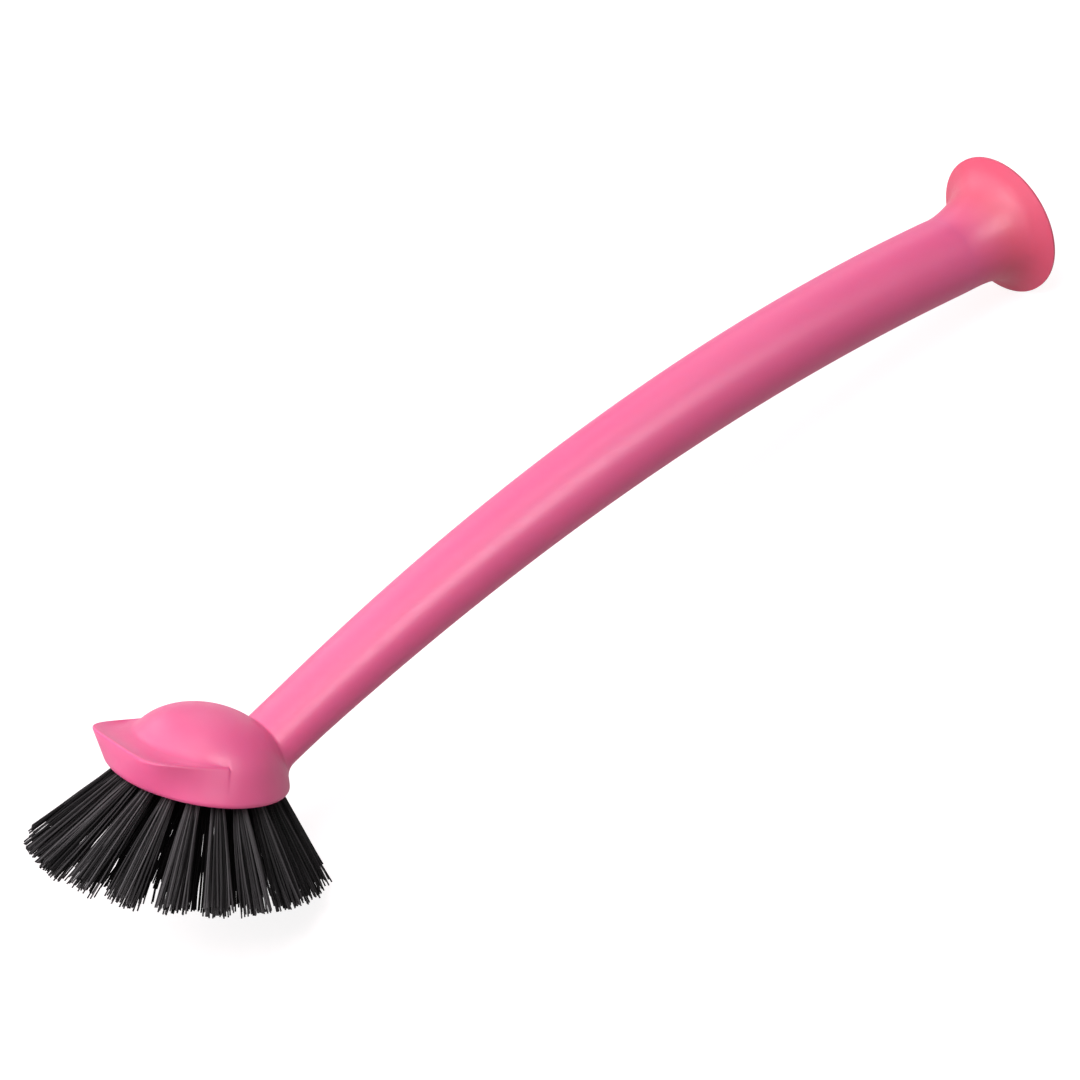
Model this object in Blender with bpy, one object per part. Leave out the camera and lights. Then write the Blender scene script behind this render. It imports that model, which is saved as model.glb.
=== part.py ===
"""Dish brush: a moulded handle and head, bristle tufts held by metal anchors, and a suction cup.

The brush is drawn in its head's own frame. There +X runs from the head towards the handle,
+Z points away from the bristles, and the origin is the middle of the bristle face's rim.
The whole assembly is then tipped over, so that it lies on a worktop as such a brush does,
on its rear bristles and the suction cup's rim.
"""

import math
import random

import bmesh
import bpy
from mathutils import Matrix, Vector

MM = 0.001

# Fits
clearance = 0.3 * MM            # between pieces that touch on the real brush
overrun = 3.0 * MM              # how far every cutter runs past what it cuts

# Head, seen from above as an oval that is a little wider in front
base_length = 40.8 * MM
base_width = 38.4 * MM
base_egg_share = 0.09           # how much wider the front half is
base_edge_radius = 1.2 * MM
ledge_height = 7.9 * MM         # the scraper lip's top above the bristle face
skirt_length = 36.0 * MM        # what the skirt's wall leans in to, at the ledge's height
skirt_width = 31.0 * MM

# Scraper lip, a straight front edge with two sides that widen backwards
lip_reach = 23.7 * MM           # the front edge, ahead of the head's middle
lip_half_width = 16.7 * MM      # the lip's side beside the head's middle
lip_narrowing_share = 0.165     # how fast the sides close in towards the front
lip_corner_power = 14           # higher is a sharper corner
lip_end_angle = math.radians(106.5)
lip_end_turn = math.radians(1.5)    # half the turn round the head that the lip's end face takes
lip_edge_radius = 0.5 * MM

# Dome on top of the head
side_ledge = 1.4 * MM           # the lip's side beyond the dome, beside the head's middle
dome_radius = lip_half_width - side_ledge
dome_rise = 8.1 * MM
dome_forward = 0.5 * MM
dome_foot_slope = math.radians(70)  # the dome's slope at the ledge's height
dome_start_slope = math.radians(63)  # where its own curve takes over from the foot's hollow
dome_end_slope = math.radians(4)
dome_foot_fillet = 1.3 * MM
foot_step_shares = (0.35, 0.7)  # where the hollow's rings lie between its two ends
wall_share = 0.3                # of the ledge's height, where the back turns in to the dome
back_pull_share = 0.36          # how strongly the back's curve follows the wall and the dome
back_step_shares = (0.62, 0.70, 0.76, 0.80, 0.86, 0.93)  # its rings

# Handle, swept along one long arc
handle_foot_reach = 8.54 * MM   # where the arc, run on, crosses the bristle face
handle_foot_angle = math.radians(46.94)
handle_bow_radius = 592.5 * MM
handle_length = 226.0 * MM      # along the arc, from its foot to the seam with the cup
handle_start = 9.0 * MM         # along the arc, where the handle starts inside the head
handle_neck = 19.4 * MM         # along the arc, where the handle is slimmest
neck_width = 14.9 * MM
neck_thickness = 13.2 * MM
grip_end_diameter = 20.1 * MM
handle_swell_power = 1.64
handle_section_power = 2.15     # exponent of the section at the neck, 2 is an ellipse

# Spigot that the suction cup is moulded on
cup_cant_angle = math.radians(5.7)  # the cup looks up a little from the handle's end
spigot_neck_radius = 4.4 * MM
spigot_neck_length = 3.0 * MM
spigot_head_radius = 6.0 * MM
spigot_head_length = 4.2 * MM
spigot_lead_length = 1.4 * MM
spigot_lead_share = 0.7         # the nose's radius as a share of the spigot head's

# Suction cup
cup_length = 19.7 * MM          # seam to rim
cup_rim_radius = 18.2 * MM
cup_rim_width = 1.2 * MM        # the flat sealing ring
cup_rim_thickness = 0.7 * MM
cup_hollow_depth = 7.6 * MM
cup_flare_power = 2.6

# Bristle tufts, two rings of them around one in the middle
tuft_radius = 1.2 * MM
tuft_hole_depth = 5.8 * MM
tuft_stand_out = 0.8 * MM       # how far the bound bundle shows before it fans out
bristle_thickness = 0.5 * MM
bristle_unevenness = 0.5 * MM
tuft_fan_share = 3.1            # a tuft's width at its tips over its width at the hole
outer_ring_length_share = 0.80  # the outer ring of holes over the bristle face
outer_ring_width_share = 0.776
fan_depth = 20.3 * MM           # from the bristle face to the oval that the outer tips lie on
fan_half_length = 32.3 * MM
fan_half_width = 27.0 * MM
fan_forward = 1.6 * MM          # how far ahead of the head's middle that oval is centred
outer_tufts = 20
middle_tufts = 8
centre_tufts = 1
ring_counts = {"outer": outer_tufts, "middle": middle_tufts, "centre": centre_tufts}
ring_phase_shares = {"outer": 0.0, "middle": 0.5, "centre": 0.0}
ring_radius_shares = {"outer": 1.0, "middle": 0.58, "centre": 0.0}
ring_depth_shares = {"outer": 1.0, "middle": 1.17, "centre": 1.25}
strands_across = 4
leg_share = 0.5                 # beyond this share of its radius the folded bundle is a leg

# Metal anchor across the fold of each tuft
anchor_thickness = 0.4 * MM
anchor_height = 1.6 * MM
anchor_length = 2.4 * MM
fold_height = 1.1 * MM          # the bundle's bend behind the anchor
rest_cut = 0.5 * MM             # depth of the flat that the worktop presses into the tips

# Facets
head_sides = 60
handle_sides = 22
handle_steps = 20
cup_sides = 36
cup_flare_steps = 9
hole_sides = 12
dome_steps = 6
cup_hollow_steps = 5
rim_turns = (0, 30, 60, 90)     # degrees round the base's rounded rim
lip_turns = (0, 45, 90)         # degrees round the lip's rounded edge
sharp_angle = math.radians(35)
weld_share = 0.01               # points nearer than this share of a clearance are one
sliver_share = 0.01             # keeps a divisor above zero
halvings = 50


def clear_scene():
    for thing in list(bpy.data.objects):
        bpy.data.objects.remove(thing, do_unlink=True)


def plastic(name, colour, roughness, metallic=0.0):
    material = bpy.data.materials.new(name)
    material.use_nodes = True
    shader = material.node_tree.nodes["Principled BSDF"]
    shader.inputs["Base Color"].default_value = (*colour, 1.0)
    shader.inputs["Roughness"].default_value = roughness
    shader.inputs["Metallic"].default_value = metallic
    material.diffuse_color = (*colour, 1.0)
    return material


def mesh_from(bm, name):
    mesh = bpy.data.meshes.new(name)
    bmesh.ops.recalc_face_normals(bm, faces=bm.faces)
    bm.to_mesh(mesh)
    bm.free()
    mesh.shade_smooth()
    mesh.set_sharp_from_angle(angle=sharp_angle)
    return mesh


def place(name, mesh, material, parent, matrix=None):
    thing = bpy.data.objects.new(name, mesh)
    if material is not None and not mesh.materials:
        mesh.materials.append(material)
    bpy.context.scene.collection.objects.link(thing)
    thing.parent = parent
    if matrix is not None:
        thing.matrix_basis = matrix
    return thing


def hide_guide(thing):
    thing.hide_render = True
    thing.display_type = "WIRE"


def boolean(thing, other, operation):
    modifier = thing.modifiers.new(operation.lower(), "BOOLEAN")
    modifier.operation = operation
    modifier.solver = "EXACT"
    modifier.object = other


def loft(bm, rings):
    """Extrude a closed loop of points through each ring in turn, and cap both ends."""
    loop = [bm.verts.new(point) for point in rings[0]]
    edges = [bm.edges.new((loop[i - 1], loop[i])) for i in range(len(loop))]
    bmesh.ops.edgeloop_fill(bm, edges=edges)
    for ring in rings[1:]:
        places = {vert: index for index, vert in enumerate(loop)}
        made = bmesh.ops.extrude_edge_only(bm, edges=edges)["geom"]
        following = [None] * len(loop)
        for vert in (item for item in made if isinstance(item, bmesh.types.BMVert)):
            before = next(e.other_vert(vert) for e in vert.link_edges if e.other_vert(vert) in places)
            following[places[before]] = vert
            vert.co = ring[places[before]]
        loop = following
        edges = [bm.edges.get((loop[i - 1], loop[i])) for i in range(len(loop))]
    bmesh.ops.edgeloop_fill(bm, edges=edges)


def oval(length, width, azimuth):
    """A point on an oval about the head's middle, a little wider in front."""
    x = length / 2 * math.cos(azimuth)
    y = width / 2 * math.sin(azimuth) * (1 - base_egg_share * math.cos(azimuth))
    return Vector((x, y, 0))


def lip_point(azimuth):
    """A point on the scraper lip's outline, where its front and side lines are blended."""
    front = lip_reach / max(-math.cos(azimuth), sliver_share)
    side_slope = abs(math.sin(azimuth)) - lip_narrowing_share * math.cos(azimuth)
    side = lip_half_width / max(side_slope, sliver_share)
    power = lip_corner_power
    near, far = min(front, side), max(front, side)
    radius = near * (1 + (near / far) ** power) ** (-1 / power)
    return Vector((radius * math.cos(azimuth), radius * math.sin(azimuth), 0))


def dome_point(slope, azimuth):
    """A point on the dome, where its surface has a slope, from the foot's to none at the top."""
    radius = dome_radius * math.sin(slope) / math.sin(dome_foot_slope)
    rise = (math.cos(slope) - math.cos(dome_foot_slope)) / (1 - math.cos(dome_foot_slope))
    x = radius * math.cos(azimuth) - dome_forward
    return Vector((x, radius * math.sin(azimuth), ledge_height + dome_rise * rise))


def wall_point(base, edge, height, inset):
    """A point on the wall between the base's outline and an upper edge, moved inwards."""
    point = base.lerp(edge, height / ledge_height)
    return point * (1 - inset / point.length) + Vector((0, 0, height))


def rim_points(base, edge):
    points = []
    for turn in rim_turns:
        angle = math.radians(turn)
        height = base_edge_radius * (1 - math.cos(angle))
        points.append(wall_point(base, edge, height, base_edge_radius * (1 - math.sin(angle))))
    return points


def lip_profile(azimuth):
    """From the rim up the lip's wall, over its edge and the ledge, to the dome."""
    base = oval(base_length, base_width, azimuth)
    edge = lip_point(azimuth)
    points = rim_points(base, edge)
    points.append(wall_point(base, edge, ledge_height * wall_share, 0))
    for turn in lip_turns:
        angle = math.radians(turn)
        height = ledge_height - lip_edge_radius * (1 - math.sin(angle))
        points.append(wall_point(base, edge, height, lip_edge_radius * (1 - math.cos(angle))))
    start = dome_point(dome_start_slope, azimuth)
    foot = dome_point(dome_foot_slope, azimuth)
    foot.z = 0
    reach = foot.length + dome_foot_fillet
    foot *= min(reach, edge.length - 2 * lip_edge_radius) / foot.length
    foot.z = ledge_height
    points.append(foot)
    corner = dome_point(dome_foot_slope, azimuth)
    for share in foot_step_shares:
        points.append(foot.lerp(corner, share).lerp(corner.lerp(start, share), share))
    return points


def back_profile(azimuth):
    """From the rim into the dome in one smooth sweep, with as many points as over the lip."""
    base = oval(base_length, base_width, azimuth)
    edge = oval(skirt_length, skirt_width, azimuth)
    points = rim_points(base, edge)
    low = wall_point(base, edge, ledge_height * wall_share, 0)
    start = dome_point(dome_start_slope, azimuth)
    pull = (start - low).length * back_pull_share
    after = low + (low - points[-1]).normalized() * pull
    before = start + (dome_point(dome_foot_slope, azimuth) - start).normalized() * pull
    points.append(low)
    for share in back_step_shares:
        first, second, third = low.lerp(after, share), after.lerp(before, share), before.lerp(start, share)
        points.append(first.lerp(second, share).lerp(second.lerp(third, share), share))
    return points


def head_mesh():
    columns = []
    for i in range(head_sides):
        azimuth = 2 * math.pi * (i + 0.5) / head_sides
        columns.append((azimuth, min(azimuth, 2 * math.pi - azimuth) > lip_end_angle))
    for side in (1, -1):
        for turn, with_lip in ((-lip_end_turn, False), (lip_end_turn, True)):
            columns.append((side * (lip_end_angle + turn) % (2 * math.pi), with_lip))
    profiles = []
    for azimuth, with_lip in sorted(columns):
        points = lip_profile(azimuth) if with_lip else back_profile(azimuth)
        for step in range(dome_steps + 1):
            fall = (dome_start_slope - dome_end_slope) * step / dome_steps
            points.append(dome_point(dome_start_slope - fall, azimuth))
        profiles.append(points)
    bm = bmesh.new()
    loft(bm, list(zip(*profiles)))
    return mesh_from(bm, "head")


def handle_frame(distance):
    """Centre, forward and upward directions of the handle's arc at a distance along it."""
    slope = handle_foot_angle - distance / handle_bow_radius
    x = handle_foot_reach + handle_bow_radius * (math.sin(handle_foot_angle) - math.sin(slope))
    z = handle_bow_radius * (math.cos(slope) - math.cos(handle_foot_angle))
    forward = Vector((math.cos(slope), 0, math.sin(slope)))
    upward = Vector((-math.sin(slope), 0, math.cos(slope)))
    return Vector((x, 0, z)), forward, upward


def cup_axis():
    """The handle end's centre, and the cup's axis direction and its upward normal."""
    centre, _, _ = handle_frame(handle_length)
    slope = handle_foot_angle - handle_length / handle_bow_radius + cup_cant_angle
    forward = Vector((math.cos(slope), 0, math.sin(slope)))
    upward = Vector((-math.sin(slope), 0, math.cos(slope)))
    return centre, forward, upward


def section(centre, upward, half_width, half_height, power):
    """A closed loop across the handle, from an ellipse to a slightly squarer oval."""
    points = []
    for i in range(handle_sides):
        angle = 2 * math.pi * i / handle_sides
        cos, sin = math.cos(angle), math.sin(angle)
        across = math.copysign(abs(cos) ** (2 / power), cos) * half_width
        rise = math.copysign(abs(sin) ** (2 / power), sin) * half_height
        points.append(centre + Vector((0, across, 0)) + upward * rise)
    return points


def handle_mesh():
    rings = []
    for step in range(handle_steps):
        distance = handle_start + (handle_length - handle_start) * step / handle_steps
        centre, _, upward = handle_frame(distance)
        along = max(0, (distance - handle_neck) / (handle_length - handle_neck))
        swell = 1 - (1 - along) ** handle_swell_power
        width = neck_width + (grip_end_diameter - neck_width) * swell
        thickness = neck_thickness + (grip_end_diameter - neck_thickness) * swell
        power = handle_section_power + (2 - handle_section_power) * swell
        rings.append(section(centre, upward, width / 2, thickness / 2, power))
    end, axis, upward = cup_axis()
    end_radius = grip_end_diameter / 2
    head_at = spigot_neck_length
    nose_at = head_at + spigot_head_length
    profile = (
        (end_radius, 0),
        (spigot_neck_radius, 0),
        (spigot_neck_radius, head_at),
        (spigot_head_radius, head_at),
        (spigot_head_radius, nose_at),
        (spigot_head_radius * spigot_lead_share, nose_at + spigot_lead_length),
    )
    for radius, distance in profile:
        rings.append(section(end + axis * distance, upward, radius, radius, 2))
    bm = bmesh.new()
    loft(bm, rings)
    return mesh_from(bm, "handle")


def cup_profile():
    """The cup's half section as (radius, distance from the seam), from bore bottom to bore bottom."""
    neck = grip_end_diameter / 2
    head_at = spigot_neck_length - clearance
    bottom = spigot_neck_length + spigot_head_length + spigot_lead_length + clearance
    socket = [
        (0, bottom),
        (spigot_head_radius * spigot_lead_share + clearance, bottom),
        (spigot_head_radius + clearance, bottom - spigot_lead_length),
        (spigot_head_radius + clearance, head_at),
        (spigot_neck_radius + clearance, head_at),
        (spigot_neck_radius + clearance, clearance),
    ]
    back = cup_length - cup_rim_thickness
    flare = []
    for step in range(cup_flare_steps + 1):
        share = step / cup_flare_steps
        radius = neck + (cup_rim_radius - neck) * share ** cup_flare_power
        flare.append((radius, clearance + (back - clearance) * share))
    hollow_radius = cup_rim_radius - cup_rim_width
    hollow = []
    for step in range(cup_hollow_steps):
        share = 1 - step / cup_hollow_steps
        hollow.append((hollow_radius * share, cup_length - cup_hollow_depth * (1 - share ** 2)))
    hollow.append((0, cup_length - cup_hollow_depth))
    return socket + flare + [(cup_rim_radius, cup_length)] + hollow


def cup_mesh():
    bm = bmesh.new()
    verts = [bm.verts.new((radius, 0, distance)) for radius, distance in cup_profile()]
    edges = [bm.edges.new(pair) for pair in zip(verts, verts[1:])]
    bmesh.ops.spin(
        bm, geom=verts + edges, axis=(0, 0, 1), cent=(0, 0, 0),
        angle=2 * math.pi, steps=cup_sides, use_merge=True,
    )
    bmesh.ops.remove_doubles(bm, verts=bm.verts, dist=clearance * weld_share)
    return mesh_from(bm, "suction_cup")


def axes_matrix(origin, x_axis, z_axis):
    """A placing matrix with its Z along z_axis and its X as near x_axis as it can be."""
    z = z_axis.normalized()
    y = z.cross(x_axis).normalized()
    x = y.cross(z)
    return Matrix.Translation(origin) @ Matrix((x, y, z)).transposed().to_4x4()


def tuft_places(ring):
    """Where each tuft of a ring leaves the bristle face, with its local +Z along it, and its length."""
    count = ring_counts[ring]
    share = ring_radius_shares[ring]
    depth = fan_depth * ring_depth_shares[ring]
    half_length = base_length / 2 * outer_ring_length_share * share
    half_width = base_width / 2 * outer_ring_width_share * share
    places = []
    for index in range(count):
        azimuth = 2 * math.pi * (index + ring_phase_shares[ring]) / count
        outward = Vector((math.cos(azimuth), math.sin(azimuth), 0))
        root = Vector((half_length * outward.x, half_width * outward.y, 0))
        tip_x = fan_half_length * share * outward.x - fan_forward
        tip_y = fan_half_width * share * outward.y
        free = Vector((tip_x, tip_y, -depth)) - root
        places.append((axes_matrix(root, outward, free), free.length))
    return places


def tuft_mesh(length, seed):
    """One bundle: its folded root with a slot for the anchor, and strands that fan out.

    A round patch of cells is the bundle's mouth. Each cell grows one strand, so no strand
    crosses another, and the patch is extruded the other way into the hole, past the slot.
    """
    draw = random.Random(seed)
    bm = bmesh.new()
    bmesh.ops.create_grid(bm, x_segments=strands_across, y_segments=strands_across, size=1)
    for vert in bm.verts:
        x, y = vert.co.x, vert.co.y
        vert.co.x = x * math.sqrt(1 - y * y / 2) * tuft_radius
        vert.co.y = y * math.sqrt(1 - x * x / 2) * tuft_radius
        vert.co.z = tuft_stand_out
    mouth = list(bm.faces)

    def grow(faces, height, keep=False):
        made = bmesh.ops.extrude_face_region(bm, geom=faces)["geom"]
        for item in made:
            if isinstance(item, bmesh.types.BMVert):
                item.co.z = height
        if not keep:
            bmesh.ops.delete(bm, geom=faces, context="FACES")
        return [item for item in made if isinstance(item, bmesh.types.BMFace)]

    # The root: solid down to the slot, two legs beside it, and the fold below it
    bottom = clearance - tuft_hole_depth
    slot_bottom = bottom + fold_height
    slot_top = slot_bottom + anchor_height + 2 * clearance
    floor = grow(mouth, slot_top, keep=True)
    sides = [face.calc_center_median().x / tuft_radius for face in floor]
    left_leg = [face for face, side in zip(floor, sides) if side < -leg_share]
    right_leg = [face for face, side in zip(floor, sides) if side > leg_share]
    for leg in (left_leg, right_leg):
        grow(grow(leg, slot_bottom), bottom)
    bm.normal_update()
    inner = []
    for face in bm.faces:
        middle = face.calc_center_median()
        in_fold = bottom < middle.z < slot_bottom and abs(middle.x) < tuft_radius / 2
        if in_fold and abs(face.normal.x) > abs(face.normal.y) + abs(face.normal.z):
            inner.append(face)
    rim = {edge for face in inner for edge in face.edges}
    rim = [edge for edge in rim if sum(face in inner for face in edge.link_faces) == 1]
    bmesh.ops.delete(bm, geom=inner, context="FACES")
    bmesh.ops.bridge_loops(bm, edges=rim)

    # The strands: each cell of the mouth is drawn out to its own place in the fan
    for face in bmesh.ops.extrude_discrete_faces(bm, faces=mouth)["faces"]:
        middle = face.calc_center_median()
        height = length + bristle_unevenness * draw.uniform(-1, 1)
        size = sum((vert.co - middle).length for vert in face.verts) / len(face.verts)
        slimness = bristle_thickness / math.sqrt(2) / size
        for vert in face.verts:
            offset = (vert.co - middle) * slimness
            vert.co.x = middle.x * tuft_fan_share + offset.x
            vert.co.y = middle.y * tuft_fan_share + offset.y
            vert.co.z = height
    return mesh_from(bm, "tuft")


def anchor_mesh():
    bm = bmesh.new()
    bmesh.ops.create_cube(bm, size=1)
    size = Vector((anchor_thickness, anchor_length, anchor_height))
    bmesh.ops.scale(bm, vec=size, verts=bm.verts)
    middle = clearance - tuft_hole_depth + fold_height + clearance + anchor_height / 2
    bmesh.ops.translate(bm, vec=Vector((0, 0, middle)), verts=bm.verts)
    return mesh_from(bm, "anchor")


def hole_cutter_mesh():
    """Every tuft hole as one set of rods, each along its own tuft."""
    bm = bmesh.new()
    length = tuft_hole_depth + overrun
    middle = Matrix.Translation((0, 0, length / 2 - tuft_hole_depth))
    radius = tuft_radius + clearance
    for ring in ring_counts:
        for matrix, _ in tuft_places(ring):
            bmesh.ops.create_cone(
                bm, cap_ends=True, segments=hole_sides, radius1=radius, radius2=radius,
                depth=length, matrix=matrix @ middle,
            )
    return mesh_from(bm, "tuft_holes")


def lowest(points, tilt):
    """How low the points reach once the brush is tipped forward by tilt."""
    return min(point.z * math.cos(tilt) - point.x * math.sin(tilt) for point in points)


def rest_tilt(tuft_points, cup_points):
    """The tilt at which the rear bristles and the cup's rim touch the worktop together."""
    low, high = 0.0, math.pi / 2
    for _ in range(halvings):
        tilt = (low + high) / 2
        if lowest(cup_points, tilt) > lowest(tuft_points, tilt):
            low = tilt
        else:
            high = tilt
    return tilt


def mesh_points(mesh, matrix):
    return [matrix @ vert.co for vert in mesh.vertices]


def press_tips(mesh, to_world, height):
    """A copy of a tuft's mesh whose strand ends are slid back along the strands to a flat."""
    bm = bmesh.new()
    bm.from_mesh(mesh)
    bmesh.ops.transform(bm, matrix=to_world, verts=bm.verts)
    for vert in bm.verts:
        if vert.co.z < height:
            root = max((edge.other_vert(vert).co for edge in vert.link_edges), key=lambda co: co.z)
            vert.co = vert.co.lerp(root, (height - vert.co.z) / (root.z - vert.co.z))
    bmesh.ops.transform(bm, matrix=to_world.inverted(), verts=bm.verts)
    pressed = mesh_from(bm, mesh.name + "_pressed")
    pressed.materials.append(mesh.materials[0])
    return pressed


def build():
    clear_scene()
    body_plastic = plastic("body_plastic", (0.80, 0.115, 0.29), 0.32)
    cup_rubber = plastic("cup_rubber", (0.82, 0.15, 0.24), 0.38)
    bristle_black = plastic("bristle_black", (0.012, 0.011, 0.012), 0.4)
    anchor_steel = plastic("anchor_steel", (0.62, 0.60, 0.56), 0.35, metallic=1.0)

    brush = bpy.data.objects.new("brush", None)
    bpy.context.scene.collection.objects.link(brush)

    # Handle and head are one moulding, with a hole for every tuft
    body = place("handle_body", head_mesh(), body_plastic, brush)
    handle = place("handle_guide", handle_mesh(), body_plastic, brush)
    holes = place("tuft_hole_guide", hole_cutter_mesh(), body_plastic, brush)
    hide_guide(handle)
    hide_guide(holes)
    boolean(body, handle, "UNION")
    boolean(body, holes, "DIFFERENCE")

    end, axis, upward = cup_axis()
    cup_matrix = axes_matrix(end, -upward, axis)
    cup = place("suction_cup", cup_mesh(), cup_rubber, brush, cup_matrix)

    tufts = []
    anchor = anchor_mesh()
    for ring in ring_counts:
        for number, (matrix, length) in enumerate(tuft_places(ring), start=1):
            mesh = tuft_mesh(length, len(tufts))
            tufts.append(place(f"{ring}_tuft_{number:02d}", mesh, bristle_black, brush, matrix))
            place(f"{ring}_anchor_{number:02d}", anchor, anchor_steel, brush, matrix)

    # Tip the brush onto its rear bristles and the cup's rim
    cup_points = mesh_points(cup.data, cup.matrix_basis)
    tuft_points = [p for tuft in tufts for p in mesh_points(tuft.data, tuft.matrix_basis)]
    tilt = rest_tilt(tuft_points, cup_points)
    turned = Matrix.Rotation(tilt, 4, "Y")
    all_points = [turned @ p for p in cup_points + tuft_points]
    low = Vector(min(axis) for axis in zip(*all_points))
    high = Vector(max(axis) for axis in zip(*all_points))
    middle = (low + high) / 2
    brush.matrix_basis = Matrix.Translation((-middle.x, -middle.y, -low.z)) @ turned
    for tuft in tufts:
        to_world = brush.matrix_basis @ tuft.matrix_basis
        if min(point.z for point in mesh_points(tuft.data, to_world)) < rest_cut:
            tuft.data = press_tips(tuft.data, to_world, rest_cut)


build()
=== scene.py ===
"""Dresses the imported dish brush: a moulded body, a soft suction cup and bundles of filaments.

Every piece is drawn in the head's own frame, where +X runs towards the handle and +Z away from
the bristles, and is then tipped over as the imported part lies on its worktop.
"""

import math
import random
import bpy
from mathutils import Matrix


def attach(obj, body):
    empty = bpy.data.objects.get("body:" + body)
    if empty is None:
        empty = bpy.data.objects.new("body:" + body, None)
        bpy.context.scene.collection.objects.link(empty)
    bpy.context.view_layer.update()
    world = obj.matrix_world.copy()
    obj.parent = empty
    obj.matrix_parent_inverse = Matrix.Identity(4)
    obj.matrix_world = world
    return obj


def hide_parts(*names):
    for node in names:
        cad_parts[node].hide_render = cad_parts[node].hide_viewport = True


bl_info = {
    "name": "Dish Brush",
    "version": (1, 0, 0),
    "blender": (4, 5, 0),
    "location": "View3D > Sidebar > Dish Brush",
    "description": "Builds the visible pieces of a dish brush round its packed model",
    "category": "Object",
}

import bmesh
import bpy
from bpy.props import FloatProperty, FloatVectorProperty, IntProperty, PointerProperty
from mathutils import Matrix, Quaternion, Vector
from mathutils.bvhtree import BVHTree

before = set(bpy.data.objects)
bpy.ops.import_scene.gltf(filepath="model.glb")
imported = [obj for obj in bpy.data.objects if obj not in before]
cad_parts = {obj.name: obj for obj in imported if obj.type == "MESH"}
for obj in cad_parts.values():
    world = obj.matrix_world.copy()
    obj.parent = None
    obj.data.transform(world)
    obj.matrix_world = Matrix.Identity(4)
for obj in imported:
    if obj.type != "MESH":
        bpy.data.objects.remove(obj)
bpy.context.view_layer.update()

MM = 0.001
UP = Vector((0, 0, 1))


# Sizes and colours


def length(name, millimetres, description):
    return FloatProperty(
        name=name, description=description, default=millimetres * MM, min=0, unit="LENGTH",
    )


def angle(name, degrees, description):
    return FloatProperty(
        name=name, description=description, default=math.radians(degrees), subtype="ANGLE",
    )


def share(name, value, description):
    return FloatProperty(name=name, description=description, default=value, subtype="FACTOR")


def number(name, value, description):
    return FloatProperty(name=name, description=description, default=value, min=1)


def count(name, value, description):
    return IntProperty(name=name, description=description, default=value, min=1)


def position(name, metres, description):
    return FloatVectorProperty(
        name=name, description=description, default=metres, size=3, unit="LENGTH",
    )


def colour(name, values, description):
    return FloatVectorProperty(
        name=name, description=description, default=values, size=3, min=0, max=1, subtype="COLOR",
    )


class RestPlace(bpy.types.PropertyGroup):
    """How the brush lies on the worktop."""

    tilt: angle("Tilt", 38.43335, "How far the head is tipped forward")
    offset: position(
        "Offset", (-0.10644679, 0.0000551, 0.03545591), "Where the bristle face's middle lies",
    )


class HeadSizes(bpy.types.PropertyGroup):
    """Sizes of the head: its oval skirt, the scraper lip and the dome."""

    base_length: length("Base length", 41.0, "The bristle face's oval, front to back")
    base_width: length("Base width", 38.8, "The bristle face's oval, side to side")
    base_egg: share("Egg shape", 0.095, "How much wider the front half is")
    base_edge_radius: length("Base edge radius", 1.3, "Round of the rim over the bristles")
    ledge_height: length("Ledge height", 8.2, "The lip's top above the bristle face")
    skirt_length: length("Skirt top length", 36.0, "What the back wall leans in to, in X")
    skirt_width: length("Skirt top width", 32.3, "What the back wall leans in to, in Y")
    lip_reach: length("Lip reach", 24.0, "The lip's front edge ahead of the head's middle")
    lip_half_width: length("Lip half width", 16.7, "The lip's side beside the middle")
    lip_narrowing: share("Lip narrowing", 0.163, "How fast its sides close in forwards")
    lip_corner_power: number("Lip corner", 8.8, "Higher is a sharper corner")
    lip_end: angle("Lip end", 106.5, "Where the lip ends, from the handle's side")
    lip_end_turn: angle("Lip end turn", 1.9, "Half the turn in which the lip fades away")
    lip_edge_radius: length("Lip edge radius", 0.75, "Round of the lip's top edge")
    ledge_dish: length("Ledge dish", 0.4, "How far the ledge's top is hollowed")
    dome_radius: length("Dome radius", 16.0, "The dome at the ledge's height")
    dome_rise: length("Dome rise", 7.8, "The dome's top above the ledge")
    dome_forward: length("Dome forward", 0.3, "How far ahead of the middle the dome stands")
    dome_foot_slope: angle("Dome foot slope", 70.0, "Its slope at the ledge's height")
    dome_start_slope: angle("Dome start slope", 62.0, "Where its own curve takes over")
    dome_foot_fillet: length("Dome foot fillet", 1.3, "Hollow between dome and ledge")
    sides: count("Sides", 240, "Facets round the head")


class HandleSizes(bpy.types.PropertyGroup):
    """Sizes of the handle, swept along one long arc."""

    foot_reach: length("Foot reach", 8.54, "Where the arc, run on, crosses the bristle face")
    foot_angle: angle("Foot angle", 46.94, "The arc's slope there")
    bow_radius: length("Bow radius", 592.5, "Radius of the long arc")
    arc_length: length("Arc length", 226.0, "From the foot to the seam with the cup")
    start: length("Start", 7.5, "Where the handle starts inside the head")
    neck: length("Neck", 19.4, "Where the handle is slimmest")
    neck_width: length("Neck width", 14.95, "Side to side")
    neck_thickness: length("Neck thickness", 13.2, "Top to bottom")
    grip_diameter: length("Grip diameter", 20.1, "At the seam with the cup")
    swell_power: number("Swell", 1.66, "How early the handle swells")
    section_power: number("Section", 2.15, "The neck's section, 2 is an ellipse")
    root_fillet: length("Root fillet", 2.0, "Hollow where the handle grows out of the dome")
    root_crease: share("Root crease", 0.7, "How much tighter that hollow is on top")
    sides: count("Sides", 96, "Facets round the handle")
    steps: count("Steps", 110, "Rings along the handle")


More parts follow.
